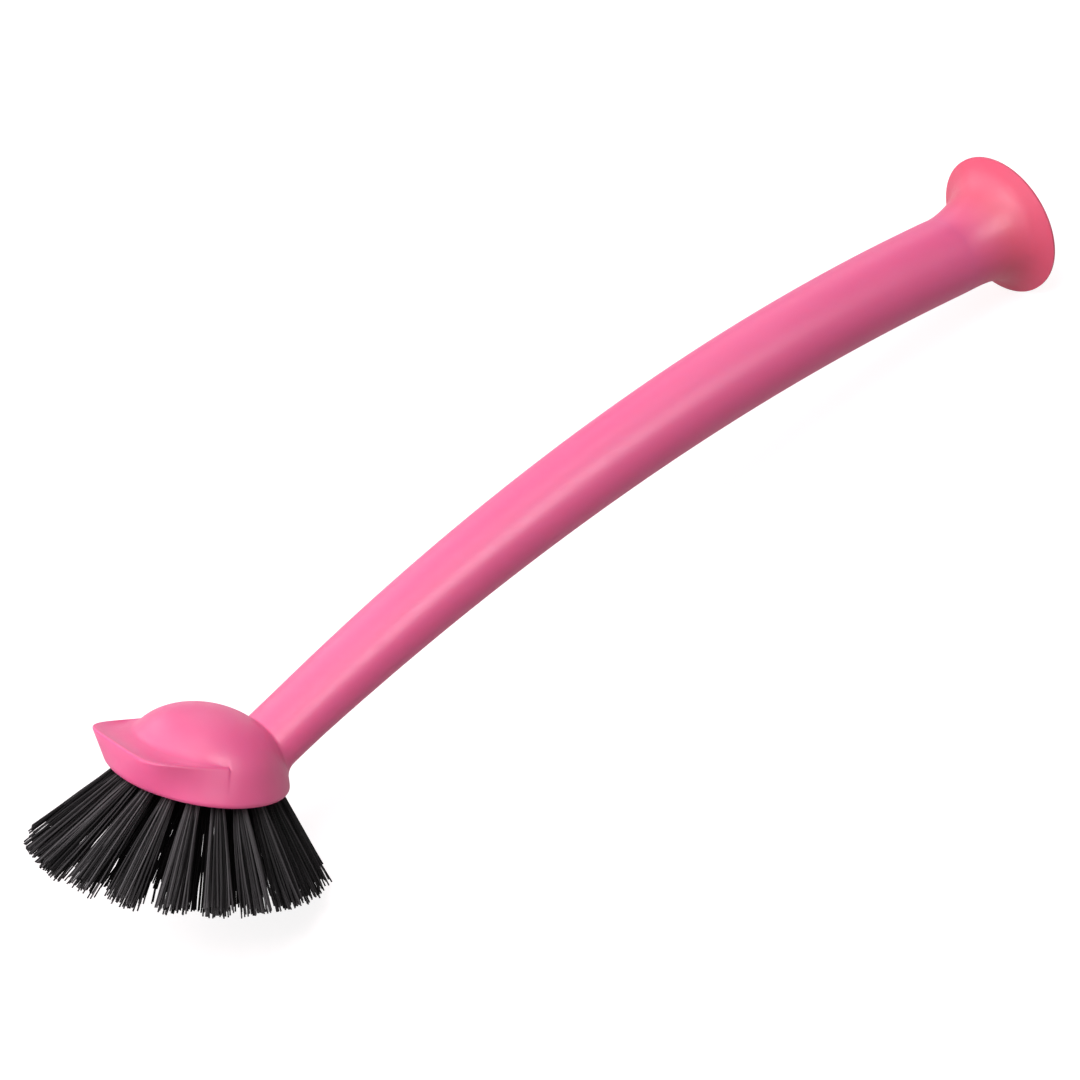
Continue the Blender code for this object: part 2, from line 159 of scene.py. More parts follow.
class CupSizes(bpy.types.PropertyGroup):
    """Sizes of the suction cup and the spigot that it is moulded on."""

    cant: angle("Cant", 5.7, "How far the cup looks up from the handle's end")
    turn_length: length("Turn length", 10.0, "In which the skin turns from the handle's line")
    depth: length("Length", 19.7, "From the seam to the rim")
    rim_radius: length("Rim radius", 18.2, "Outer radius of the sealing ring")
    rim_width: length("Rim width", 1.2, "Width of the flat sealing ring")
    rim_thickness: length("Rim thickness", 0.7, "Thickness of the lip at its edge")
    hollow_depth: length("Hollow depth", 7.6, "Depth of the bowl")
    flare_start_power: number("Flare start", 2.2, "How the trumpet opens near the seam")
    flare_end_power: number("Flare end", 8.5, "How late it opens out into the flange")
    flange: share("Flange", 0.42, "How much of the opening belongs to the flange")
    seam_gap: length("Seam gap", 0.004, "Hairline between the handle and the cup")
    spigot_neck_radius: length("Spigot neck radius", 4.4, "Under the spigot's head")
    spigot_neck_length: length("Spigot neck length", 3.0, "Under the spigot's head")
    spigot_head_radius: length("Spigot head radius", 6.0, "What holds the cup on")
    spigot_head_length: length("Spigot head length", 4.2, "Its straight part")
    spigot_lead_length: length("Spigot lead length", 1.4, "Its tapered nose")
    spigot_lead: share("Spigot nose", 0.7, "The nose's radius as a share of its head's")
    sides: count("Sides", 128, "Facets round the cup")


class BristleSizes(bpy.types.PropertyGroup):
    """Sizes and numbers of the bristle bundles."""

    outer_tufts: count("Outer tufts", 20, "Bundles in the outer ring")
    middle_tufts: count("Middle tufts", 8, "Bundles in the middle ring")
    centre_tufts: count("Centre tufts", 1, "Bundles in the middle of the face")
    tuft_radius: length("Tuft radius", 1.2, "The bound bundle")
    hole_depth: length("Hole depth", 5.8, "Of each tuft's hole")
    clearance: length("Clearance", 0.3, "Between a bundle and its hole")
    stand_out: length("Stand out", 0.5, "How far the bundle stays bound outside its hole")
    ring_half_length: length("Ring half length", 16.32, "The outer ring of holes, in X")
    ring_half_width: length("Ring half width", 14.9, "The outer ring of holes, in Y")
    fan_depth: length("Fan depth", 20.3, "From the face to the outer tips")
    fan_half_length: length("Fan half length", 32.3, "The oval of the outer tips, in X")
    fan_half_width: length("Fan half width", 27.0, "The oval of the outer tips, in Y")
    fan_forward: length("Fan forward", 1.6, "How far ahead the tips' oval is centred")
    fan_turn: angle("Fan turn", 6.5, "How far the tufts lean back to the handle")
    fan_spread: number("Fan spread", 2.6, "A tuft's width at its tips over its root's")
    inner_spread: number("Inner spread", 5.0, "The same for the tufts inside the outer ring")
    filament_pitch: length("Filament pitch", 0.35, "From filament to filament in a hole")
    inner_pitch: length("Inner pitch", 0.30, "The same for the tufts inside the outer ring")
    filament_thickness: length("Filament thickness", 0.36, "Diameter")
    filament_sides: count("Filament sides", 6, "Facets round a filament")
    filament_steps: count("Filament steps", 4, "Lengths that a filament bends in")
    longest: length("Longest", 0.5, "How far the longest filaments stand past the tips")
    raggedness: length("Raggedness", 1.9, "Between the longest and the shortest ends")


class Finishes(bpy.types.PropertyGroup):
    """Colours of the brush and its surroundings."""

    plastic: colour("Moulded plastic", (0.87, 0.122, 0.312), "Handle and head")
    rubber: colour("Cup rubber", (0.82, 0.105, 0.198), "Suction cup")
    bristle: colour("Bristles", (0.125, 0.116, 0.122), "Nylon filaments")
    steel: colour("Anchors", (0.62, 0.60, 0.56), "Metal strips in the tufts' folds")
    floor: colour("Floor", (0.34, 0.29, 0.30), "The plain floor")


class Studio(bpy.types.PropertyGroup):
    """Camera and lights."""

    camera_location: position(
        "Camera location", (-0.28856026, -0.52736252, 0.44721132), "Where the photo is from",
    )
    camera_target: position(
        "Camera target", (-0.00859869, 0.00007357, 0.02928845), "The picture's middle",
    )
    camera_roll: angle("Camera roll", -21.16671, "Turn about the line of sight")
    floor_glow: share("Floor glow", 0.85, "Lifts the floor to a pale tone in the picture")
    surroundings: share("Surroundings", 0.22, "Brightness of the plain room")
    lens: FloatProperty(
        name="Lens", description="On a 36 mm sensor", default=106.667, unit="CAMERA",
    )


class DishBrush(bpy.types.PropertyGroup):
    """Everything that a user would change."""

    rest: PointerProperty(type=RestPlace)
    head: PointerProperty(type=HeadSizes)
    handle: PointerProperty(type=HandleSizes)
    cup: PointerProperty(type=CupSizes)
    bristles: PointerProperty(type=BristleSizes)
    finishes: PointerProperty(type=Finishes)
    studio: PointerProperty(type=Studio)


# Materials. A noise's scale is in waves per metre.

MOTTLE_SCALE = 38.0
SCUFF_SCALE = 420.0
SCUFF_SPAN = (0.3, 0.7)  # the part of the scuffs' noise that changes the gloss
GRAIN_STRENGTH = 0.35
MOULDED_IOR = 1.48
UNDER_SKIN = 0.3  # how much of the light comes back from under the skin
UNDER_SKIN_REACH = (1.0, 0.25, 0.35)  # red light goes farthest
UNDER_SKIN_DEPTH = 0.8 * MM
PLASTIC_LOOK = {
    "deep": 0.93, "gloss": (0.38, 0.48), "grain_scale": 5200.0, "grain_height": 0.02 * MM,
}
RUBBER_LOOK = {
    "deep": 0.92, "gloss": (0.40, 0.50), "grain_scale": 3800.0, "grain_height": 0.03 * MM,
}
SEAM_TONE = 0.965  # of the handle's colour, where the cup starts
SEAM_FADE = 0.6  # the share of the cup in which its own colour takes over

BRISTLE_DARKEST = 0.05  # of the bristles' colour, for the darkest filaments, dark partly at random and partly in painted shade
BRISTLE_GLOSS = (0.9, 0.4)  # roughness of the darkest filaments and of the palest
BRISTLE_SCUFF = 0.15
BRISTLE_SCUFF_SCALE = 900.0
BRISTLE_IOR = 1.15

STEEL_DARKEST = 0.8  # of the anchors' colour
STEEL_GLOSS = (0.25, 0.5)
STEEL_LINE_SCALES = (9000.0, 500.0, 500.0)

SHINE_LEAST = 0.35  # of the floor in the brush's gloss
SHINE_SPAN = (0.08, 0.3)  # metres behind the brush in which it grows to 1
WHITE = (1, 1, 1, 1)


def feed(tree, node, inputs):
    """Set or link a node's inputs, by name or by place."""
    for key, value in inputs.items():
        if isinstance(value, bpy.types.NodeSocket):
            tree.links.new(value, node.inputs[key])
        else:
            node.inputs[key].default_value = value


def add_node(tree, kind, inputs, **settings):
    """A new shader node with its settings and inputs."""
    node = tree.nodes.new(kind)
    for name, value in settings.items():
        setattr(node, name, value)
    feed(tree, node, inputs)
    return node


def rgba(tint, tone=1.0):
    return (*(channel * tone for channel in tint), 1)


def object_place(tree):
    return tree.nodes.new("ShaderNodeTexCoord").outputs["Object"]


def attribute(tree, name):
    return add_node(tree, "ShaderNodeAttribute", {}, attribute_name=name).outputs["Fac"]


def noise(tree, place, scale, detail=2.0, roughness=0.5):
    inputs = {"Vector": place, "Scale": scale, "Detail": detail, "Roughness": roughness}
    return add_node(tree, "ShaderNodeTexNoise", inputs).outputs["Fac"]


def mapped(tree, value, to_span, from_span=(0.0, 1.0)):
    """A value stretched from one span onto another."""
    inputs = {
        "Value": value, "From Min": from_span[0], "From Max": from_span[1],
        "To Min": to_span[0], "To Max": to_span[1],
    }
    return add_node(tree, "ShaderNodeMapRange", inputs).outputs["Result"]


def blended(tree, factor, first, second):
    """A colour between two others."""
    inputs = {"Factor": factor, "A": first, "B": second}
    return add_node(tree, "ShaderNodeMix", inputs, data_type="RGBA").outputs["Result"]


def calculated(tree, operation, *values):
    inputs = dict(enumerate(values))
    return add_node(tree, "ShaderNodeMath", inputs, operation=operation).outputs["Value"]


def moulded_surface_group():
    """Shared effect: faint mottling, uneven gloss and fine grain of a moulded surface."""
    name = "Moulded surface"
    if name in bpy.data.node_groups:
        return bpy.data.node_groups[name]
    tree = bpy.data.node_groups.new(name, "ShaderNodeTree")
    sockets = (
        ("Colour", "INPUT", "NodeSocketColor"),
        ("Deep colour", "INPUT", "NodeSocketColor"),
        ("Gloss from", "INPUT", "NodeSocketFloat"),
        ("Gloss to", "INPUT", "NodeSocketFloat"),
        ("Mottle scale", "INPUT", "NodeSocketFloat"),
        ("Grain scale", "INPUT", "NodeSocketFloat"),
        ("Colour", "OUTPUT", "NodeSocketColor"),
        ("Roughness", "OUTPUT", "NodeSocketFloat"),
        ("Height", "OUTPUT", "NodeSocketFloat"),
    )
    for socket, way, kind in sockets:
        tree.interface.new_socket(socket, in_out=way, socket_type=kind)
    given = tree.nodes.new("NodeGroupInput").outputs
    place = object_place(tree)
    mottle = noise(tree, place, given["Mottle scale"], detail=3.0)
    scuff = noise(tree, place, SCUFF_SCALE, detail=5.0, roughness=0.65)
    gloss_span = given["Gloss from"], given["Gloss to"]
    feed(tree, tree.nodes.new("NodeGroupOutput"), {
        "Colour": blended(tree, mottle, given["Colour"], given["Deep colour"]),
        "Roughness": mapped(tree, scuff, gloss_span, SCUFF_SPAN),
        "Height": noise(tree, place, given["Grain scale"]),
    })
    return tree


def shared_material(name, dress):
    """The material with this name, which is dressed when it is first asked for."""
    material = bpy.data.materials.get(name)
    if material is None:
        material = bpy.data.materials.new(name)
        material.use_nodes = True
        tree = material.node_tree
        dress(tree, tree.nodes["Principled BSDF"], bpy.context.scene.dish_brush)
    return material


def dress_moulded(tree, shader, tint, deep, gloss, grain_scale, grain_height):
    """A moulded plastic or rubber with the shared effect. Returns its mottled colour."""
    surface = add_node(
        tree, "ShaderNodeGroup",
        {
            "Colour": rgba(tint), "Deep colour": rgba(tint, deep),
            "Gloss from": gloss[0], "Gloss to": gloss[1],
            "Mottle scale": MOTTLE_SCALE, "Grain scale": grain_scale,
        },
        node_tree=moulded_surface_group(),
    )
    grain = {
        "Strength": GRAIN_STRENGTH, "Distance": grain_height,
        "Height": surface.outputs["Height"],
    }
    feed(tree, shader, {
        "Base Color": surface.outputs["Colour"],
        "Roughness": surface.outputs["Roughness"],
        "Normal": add_node(tree, "ShaderNodeBump", grain).outputs["Normal"],
        "IOR": MOULDED_IOR,
        "Subsurface Weight": UNDER_SKIN,
        "Subsurface Radius": UNDER_SKIN_REACH,
        "Subsurface Scale": UNDER_SKIN_DEPTH,
    })
    return surface.outputs["Colour"]


def dress_plastic(tree, shader, brush):
    dress_moulded(tree, shader, brush.finishes.plastic, **PLASTIC_LOOK)


def dress_rubber(tree, shader, brush):
    """The cup's rubber, whose colour starts at the seam as the handle's."""
    own = dress_moulded(tree, shader, brush.finishes.rubber, **RUBBER_LOOK)
    fade = mapped(tree, attribute(tree, "towards_rim"), (0.0, 1.0), (0.0, SEAM_FADE))
    seam = rgba(brush.finishes.plastic, SEAM_TONE)
    feed(tree, shader, {"Base Color": blended(tree, fade, seam, own)})


def dress_bristle(tree, shader, brush):
    """Black nylon whose tone differs at random from filament to filament, with painted shade that
    darkens the inner tufts and the outer ones on the side away from the light.
    """
    tint = brush.finishes.bristle
    tone = attribute(tree, "filament_tone_and_shade")
    scuff = noise(tree, object_place(tree), BRISTLE_SCUFF_SCALE, detail=3.0)
    matt = mapped(tree, tone, BRISTLE_GLOSS)
    feed(tree, shader, {
        "Base Color": blended(tree, tone, rgba(tint, BRISTLE_DARKEST), rgba(tint)),
        "Roughness": calculated(tree, "MULTIPLY_ADD", scuff, BRISTLE_SCUFF, matt),
        "IOR": BRISTLE_IOR,
    })


def dress_steel(tree, shader, brush):
    """Cut strip with faint drawing lines."""
    tint = brush.finishes.steel
    stretch = {"Vector": object_place(tree), "Scale": STEEL_LINE_SCALES}
    drawn = add_node(tree, "ShaderNodeMapping", stretch).outputs["Vector"]
    drawing = noise(tree, drawn, 1.0)
    feed(tree, shader, {
        "Base Color": blended(tree, drawing, rgba(tint, STEEL_DARKEST), rgba(tint)),
        "Roughness": mapped(tree, drawing, STEEL_GLOSS),
        "Metallic": 1.0,
    })


def dress_floor(tree, shader, brush):
    """A matt floor that looks pale to the camera and shines in the brush's gloss behind it."""
    path = tree.nodes.new("ShaderNodeLightPath").outputs
    axes = add_node(tree, "ShaderNodeSeparateXYZ", {"Vector": object_place(tree)}).outputs
    behind = mapped(tree, axes["Y"], (SHINE_LEAST, 1.0), SHINE_SPAN)
    shine = calculated(tree, "MULTIPLY", path["Is Glossy Ray"], behind)
    glow = brush.studio.floor_glow
    feed(tree, shader, {
        "Base Color": rgba(brush.finishes.floor),
        "Roughness": 1.0,
        "Specular IOR Level": 0.0,
        "Emission Color": WHITE,
        "Emission Strength": calculated(tree, "MULTIPLY_ADD", path["Is Camera Ray"], glow, shine),
    })


# Shapes

ROUND_TURNS = [math.radians(turn) for turn in range(0, 91, 15)]
MOULDED_CREASE = 38  # degrees between facets past which an edge stays sharp
FILAMENT_CREASE = 80


def rest_matrix():
    """From the head's own frame to the brush as it lies."""
    rest = bpy.context.scene.dish_brush.rest
    return Matrix.Translation(rest.offset) @ Matrix.Rotation(rest.tilt, 4, "Y")


def loft(bm, rings):
    """Extrude a closed loop of points through each ring in turn, and cap both ends."""
    loop = bmesh.ops.create_circle(bm, segments=len(rings[0]), radius=1)["verts"]
    for vert, point in zip(loop, rings[0]):
        vert.co = point
    edges = list(bm.edges)
    bmesh.ops.edgeloop_fill(bm, edges=edges)
    for ring in rings[1:]:
        places = {vert: index for index, vert in enumerate(loop)}
        made = bmesh.ops.extrude_edge_only(bm, edges=edges)["geom"]
        following = [None] * len(loop)
        for vert in (item for item in made if isinstance(item, bmesh.types.BMVert)):
            before = next(
                edge.other_vert(vert) for edge in vert.link_edges
                if edge.other_vert(vert) in places
            )
            following[places[before]] = vert
            vert.co = ring[places[before]]
        loop = following
        edges = [bm.edges.get((loop[i - 1], loop[i])) for i in range(len(loop))]
    bmesh.ops.edgeloop_fill(bm, edges=edges)
    bmesh.ops.recalc_face_normals(bm, faces=bm.faces)


def hump(part):
    """0 at both ends and 1 in the middle."""
    return 4 * part * (1 - part)


def quadratic(first, corner, last, part):
    """A point part of the way along a curve that rounds one corner."""
    return first.lerp(corner, part).lerp(corner.lerp(last, part), part)


def cubic(first, after, before, last, part):
    """A point part of the way along a curve that rounds two corners."""
    return quadratic(first, after, before, part).lerp(quadratic(after, before, last, part), part)


def mesh_of(bm, name):
    mesh = bpy.data.meshes.new(name)
    bm.to_mesh(mesh)
    bm.free()
    return mesh


def put(name, data):
    """A new object in the scene."""
    thing = bpy.data.objects.new(name, data)
    bpy.context.scene.collection.objects.link(thing)
    return thing


def finished(name, mesh, material, nodes, crease):
    """A shown piece, tipped into place, that rides on the brush and stands for its CAD nodes."""
    mesh.transform(rest_matrix())
    mesh.materials.clear()
    mesh.materials.append(material)
    mesh.shade_smooth()
    mesh.set_sharp_from_angle(angle=math.radians(crease))
    piece = put(name, mesh)
    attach(piece, "root")
    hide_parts(*nodes)


def combined(base, others):
    """The base mesh after one exact Boolean for each (operation, mesh) in turn."""
    thing = put("blank", base)
    tools = []
    for operation, mesh in others:
        tool = put("tool", mesh)
        tools.append(tool)
        modifier = thing.modifiers.new(operation.lower(), "BOOLEAN")
        modifier.operation = operation
        modifier.solver = "EXACT"
        modifier.object = tool
    dressed = thing.evaluated_get(bpy.context.evaluated_depsgraph_get())
    result = bpy.data.meshes.new_from_object(dressed)
    for used in [thing, *tools]:
        mesh = used.data
        bpy.data.objects.remove(used)
        bpy.data.meshes.remove(mesh)
    return result


# Head

WALL_SHARES = (0.3, 0.6)  # of the ledge's height
LEDGE_SHARES = (0.2, 0.4, 0.6, 0.8)
BACK_SHARES = (
    0.33, 0.62, 0.64, 0.66, 0.68, 0.70, 0.715, 0.73,
    0.74, 0.75, 0.76, 0.77, 0.785, 0.82, 0.87, 0.92, 0.96,
)
DOME_STEPS = 26
DOME_END_SLOPE = math.radians(1)
STEP_SHARES = (-1.0, -0.7, -0.42, -0.14, 0.14, 0.42, 0.7, 1.0)
STEP_MARGIN = 1.2  # turns of the lip's end that even profiles stay away
LEAST_SLOPE = 0.01  # keeps a line of the lip's outline from running off
FOOT_LIMIT = 0.7  # of the ledge, which the dome's foot may take
SWEEP_PULL = 0.36  # how firmly the back's sweep keeps to its ends' directions


def oval(sizes, long_way, wide_way, azimuth):
    """A point on an egg-shaped outline in the bristle face's plane."""
    x = long_way / 2 * math.cos(azimuth)
    y = wide_way / 2 * math.sin(azimuth) * (1 - sizes.base_egg * math.cos(azimuth))
    return Vector((x, y, 0))


def lip_point(sizes, azimuth):
    """A point on the lip's outline, where its front and side lines are blended."""
    front = sizes.lip_reach / max(-math.cos(azimuth), LEAST_SLOPE)
    side_slope = abs(math.sin(azimuth)) - sizes.lip_narrowing * math.cos(azimuth)
    side = sizes.lip_half_width / max(side_slope, LEAST_SLOPE)
    near, far = min(front, side), max(front, side)
    power = sizes.lip_corner_power
    radius = near * (1 + (near / far) ** power) ** (-1 / power)
    return Vector((radius * math.cos(azimuth), radius * math.sin(azimuth), 0))


def dome_point(sizes, slope, azimuth):
    """A point on the dome where its round shape has a slope, and the uphill direction there."""
    foot = sizes.dome_foot_slope
    radius = sizes.dome_radius * math.sin(slope) / math.sin(foot)
    scale = sizes.dome_rise / (1 - math.cos(foot))
    out = Vector((math.cos(azimuth), math.sin(azimuth), 0))
    point = out * radius + UP * (sizes.ledge_height + scale * (math.cos(slope) - math.cos(foot)))
    point.x -= sizes.dome_forward
    run = sizes.dome_radius * math.cos(slope) / math.sin(foot)
    return point, (UP * scale * math.sin(slope) - out * run).normalized()


def base_rounding(sizes, base, edge):
    """Points round the rim over the bristles, on the wall from the base to an upper edge."""
    points = []
    for turn in ROUND_TURNS:
        height = sizes.base_edge_radius * (1 - math.cos(turn))
        inset = sizes.base_edge_radius * (1 - math.sin(turn))
        points.append(wall_point(sizes, base, edge, height, inset))
    return points


def wall_point(sizes, base, edge, height, inset):
    """A point on the wall at a height, moved inwards."""
    point = base.lerp(edge, height / sizes.ledge_height)
    return point * (1 - inset / point.length) + UP * height


def lip_profile(sizes, azimuth):
    """From the rim up the lip's wall, over its edge and the dished ledge, to the dome."""
    base = oval(sizes, sizes.base_length, sizes.base_width, azimuth)
    edge = lip_point(sizes, azimuth)
    points = base_rounding(sizes, base, edge)
    for part in WALL_SHARES:
        points.append(wall_point(sizes, base, edge, sizes.ledge_height * part, 0))
    for turn in ROUND_TURNS:
        height = sizes.ledge_height - sizes.lip_edge_radius * (1 - math.sin(turn))
        inset = sizes.lip_edge_radius * (1 - math.cos(turn))
        points.append(wall_point(sizes, base, edge, height, inset))
    ridge = points[-1]
    start, _ = dome_point(sizes, sizes.dome_start_slope, azimuth)
    corner, _ = dome_point(sizes, sizes.dome_foot_slope, azimuth)
    room = max(ridge.xy.length - corner.xy.length, 0)
    foot_share = sizes.dome_foot_fillet / max(room, sizes.ledge_dish)
    foot = corner.lerp(ridge, min(FOOT_LIMIT, foot_share))
    dish = sizes.ledge_dish * min(1, (ridge - foot).length / (sizes.dome_foot_fillet * 2))
    for part in LEDGE_SHARES:
        points.append(ridge.lerp(foot, part) - UP * dish * hump(part))
    points.append(foot)
    for part in LEDGE_SHARES:
        points.append(quadratic(foot, corner, start, part))
    points.append(start)
    return points


def back_profile(sizes, azimuth):
    """From the rim up into the dome in one smooth sweep, with as many points as over the lip."""
    base = oval(sizes, sizes.base_length, sizes.base_width, azimuth)
    edge = oval(sizes, sizes.skirt_length, sizes.skirt_width, azimuth)
    points = base_rounding(sizes, base, edge)
    low = wall_point(sizes, base, edge, sizes.ledge_height * WALL_SHARES[0], 0)
    points.append(low)
    start, up_dome = dome_point(sizes, sizes.dome_start_slope, azimuth)
    pull = (start - low).length * SWEEP_PULL
    up_wall = (low - points[-2]).normalized()
    after, before = low + up_wall * pull, start - up_dome * pull
    for part in BACK_SHARES:
        points.append(cubic(low, after, before, start, part))
    points.append(start)
    return points


def head_mesh(sizes):
    """The head as upright profiles side by side, those of the lip fading into those of the back."""
    fading = {sizes.lip_end + sizes.lip_end_turn * part: (part + 1) / 2 for part in STEP_SHARES}
    fading.update({2 * math.pi - azimuth: part for azimuth, part in fading.items()})
    columns = dict(fading)
    for index in range(sizes.sides):
        azimuth = 2 * math.pi * (index + 0.5) / sizes.sides
        from_end = min(azimuth, 2 * math.pi - azimuth) - sizes.lip_end
        if abs(from_end) > sizes.lip_end_turn * STEP_MARGIN:
            columns[azimuth] = 1 if from_end > 0 else 0
    profiles = []
    for azimuth, part in sorted(columns.items()):
        part = part * part * (3 - 2 * part)
        over, past = lip_profile(sizes, azimuth), back_profile(sizes, azimuth)
        points = [back.lerp(lip, part) for lip, back in zip(over, past)]
        for step in range(1, DOME_STEPS + 1):
            fall = (sizes.dome_start_slope - DOME_END_SLOPE) * step / DOME_STEPS
            points.append(dome_point(sizes, sizes.dome_start_slope - fall, azimuth)[0])
        profiles.append(points)
    bm = bmesh.new()
    loft(bm, list(zip(*profiles)))
    return mesh_of(bm, "head")


# Handle

ROOT_CLEAR = 42 * MM  # along the arc, where the handle is clear of the head
ROOT_CORE = 0.8  # size of the handle's hidden start
ROOT_SINK = 0.01 * MM  # how deep the hollow's edge lies in the head's skin
LEAST_FILLET = 0.1 * MM
EVENING = 24  # the hollow is evened out over a turn / 24 either way
REACH_HALVINGS = 12
MEETING_HALVINGS = 24
HOLLOW_SHARES = (0, 0.08, 0.18, 0.3, 0.42, 0.55, 0.68, 0.8, 0.9, 1.0)
ONWARD_SHARES = (0.15, 0.32, 0.5, 0.7)


def directions(slope):
    """Forwards and upwards at a slope, in the brush's plane of symmetry."""
    forward = Vector((math.cos(slope), 0, math.sin(slope)))
    upward = Vector((-math.sin(slope), 0, math.cos(slope)))
    return forward, upward


def handle_frame(sizes, distance):
    """Centre and upward direction of the handle's arc at a distance along it."""
    slope = sizes.foot_angle - distance / sizes.bow_radius
    x = sizes.foot_reach + sizes.bow_radius * (math.sin(sizes.foot_angle) - math.sin(slope))
    z = sizes.bow_radius * (math.cos(slope) - math.cos(sizes.foot_angle))
    return Vector((x, 0, z)), directions(slope)[1]


def cup_axis(handle, cup):
    """Middle of the seam, and the cup's forward and upward directions."""
    centre, _ = handle_frame(handle, handle.arc_length)
    slope = handle.foot_angle - handle.arc_length / handle.bow_radius + cup.cant
    return centre, *directions(slope)


def section_point(centre, upward, half_width, half_height, power, turn):
    """A point on a section whose power of 2 is an ellipse and more is squarer."""
    cos, sin = math.cos(turn), math.sin(turn)
    across = math.copysign(abs(cos) ** (2 / power), cos) * half_width
    rise = math.copysign(abs(sin) ** (2 / power), sin) * half_height
    return centre + Vector((0, across, 0)) + upward * rise


def handle_point(sizes, distance, turn):
    """A point on the handle's skin, and the direction straight out of it."""
    centre, upward = handle_frame(sizes, distance)
    along = max(0, (distance - sizes.neck) / (sizes.arc_length - sizes.neck))
    swell = 1 - (1 - along) ** sizes.swell_power
    width = sizes.neck_width + (sizes.grip_diameter - sizes.neck_width) * swell
    thickness = sizes.neck_thickness + (sizes.grip_diameter - sizes.neck_thickness) * swell
    power = sizes.section_power + (2 - sizes.section_power) * swell
    point = section_point(centre, upward, width / 2, thickness / 2, power, turn)
    return point, (point - centre).normalized()


def highest(low, high, holds, halvings):
    """The highest value at which a test still holds that holds at the low one."""
    for _ in range(halvings):
        middle = (low + high) / 2
        low, high = (middle, high) if holds(middle) else (low, middle)
    return low


def root_rings(sizes, head_tree, turns):
    """The hollow that leads from the head's skin onto the handle, one curve for each facet."""

    def reach(turn, outward):
        """Where a line along the handle, moved outwards, meets the head."""
        start, out = handle_point(sizes, ROOT_CLEAR, turn)
        aim, out_near = handle_point(sizes, sizes.neck, turn)
        start, aim = start + out * outward, aim + out_near * outward
        return head_tree.ray_cast(start, (aim - start).normalized())

    def widest(turn):
        """The hollow's reach on this side, less where the line would miss the head."""
        wanted = sizes.root_fillet * (1 - sizes.root_crease * max(0, math.sin(turn)))

        def meets(outward):
            return reach(turn, outward)[0] is not None

        return wanted if meets(wanted) else highest(0.0, wanted, meets, REACH_HALVINGS)

    offsets = [widest(turn) for turn in turns]
    spread = max(1, sizes.sides // EVENING)

    def curve(index, turn):
        """Where the hollow leaves the head, where it turns, and how far along it ends."""
        around = [offsets[(index + k) % len(turns)] for k in range(-spread, spread + 1)]
        landing, normal, _, _ = reach(turn, max(min(around), LEAST_FILLET))

        def under(distance):
            return (handle_point(sizes, distance, turn)[0] - landing).dot(normal) <= 0

        nearest = ROOT_CLEAR - reach(turn, 0)[3]
        met = highest(nearest, ROOT_CLEAR, under, MEETING_HALVINGS)
        meeting = handle_point(sizes, met, turn)[0]
        return landing - normal * ROOT_SINK, meeting, met + (meeting - landing).length

    curves = [curve(index, turn) for index, turn in enumerate(turns)]
    centre, _ = handle_frame(sizes, sizes.start)
    rings = [[centre.lerp(handle_point(sizes, sizes.start, turn)[0], ROOT_CORE) for turn in turns]]
    for part in HOLLOW_SHARES:
        rings.append([
            quadratic(landing, meeting, handle_point(sizes, ending, turn)[0], part)
            for turn, (landing, meeting, ending) in zip(turns, curves)
        ])
    for part in ONWARD_SHARES:
        rings.append([
            handle_point(sizes, ending + (ROOT_CLEAR - ending) * part, turn)[0]
            for turn, (_, _, ending) in zip(turns, curves)
        ])
    return rings


def handle_mesh(sizes, cup, head_tree):
    """The handle, from inside the head to the spigot that the cup is moulded on."""
    turns = [2 * math.pi * (i + 0.5) / sizes.sides for i in range(sizes.sides)]
    rings = root_rings(sizes, head_tree, turns)
    for step in range(sizes.steps):
        distance = ROOT_CLEAR + (sizes.arc_length - ROOT_CLEAR) * step / sizes.steps
        rings.append([handle_point(sizes, distance, turn)[0] for turn in turns])
    end, axis, upward = cup_axis(sizes, cup)
    head_at = cup.spigot_neck_length
    nose_at = head_at + cup.spigot_head_length
    profile = (
        (sizes.grip_diameter / 2, 0),
        (cup.spigot_neck_radius, 0),
        (cup.spigot_neck_radius, head_at),
        (cup.spigot_head_radius, head_at),
        (cup.spigot_head_radius, nose_at),
        (cup.spigot_head_radius * cup.spigot_lead, nose_at + cup.spigot_lead_length),
    )
    for radius, distance in profile:
        centre = end + axis * distance
        rings.append([section_point(centre, upward, radius, radius, 2, turn) for turn in turns])
    bm = bmesh.new()
    loft(bm, rings)
    return mesh_of(bm, "handle")


# Bristles

# Ring, first tuft in tuft spacings, share of the outer ring's size and of its fan's depth
TUFT_RINGS = (
    ("outer", 0.0, 1.0, 1.0),
    ("middle", 0.5, 0.58, 1.17),
    ("centre", 0.0, 0.0, 1.25),
)
HOLE_SIDES = 28
HOLE_OVERRUN = 3 * MM
BOUND_SHARE = 0.6  # of the hole's depth, which the filaments fill
ROOT_JITTER = 0.03  # share of a filament's distance from the tuft's middle
TIP_JITTER = 0.12 * MM  # times the tuft's spread
BOW_JITTER = 0.2 * MM
LENGTH_POWER = 1.5  # higher leaves fewer short filaments
TONE_POWER = 1.3  # higher leaves fewer pale filaments
PAINTED_LIT_SIDE = math.radians(222)  # azimuth of the outer tuft painted palest, as painted light on the lit side
# painted shade: the outer tufts' tone on the side away from the light, towards the handle
OUTER_PAINTED_SHADE_TONE = 0.12
# painted shade: the tone of the tufts inside the outer ring, which lie in the outer tufts' shade
INNER_PAINTED_SHADE_TONE = 0.02


def axes_matrix(origin, x_axis, z_axis):
    """A placing matrix from an origin, local Z, and roughly local X."""
    z = z_axis.normalized()
    y = z.cross(x_axis).normalized()
    x = y.cross(z)
    return Matrix.Translation(origin) @ Matrix((x, y, z)).transposed().to_4x4()


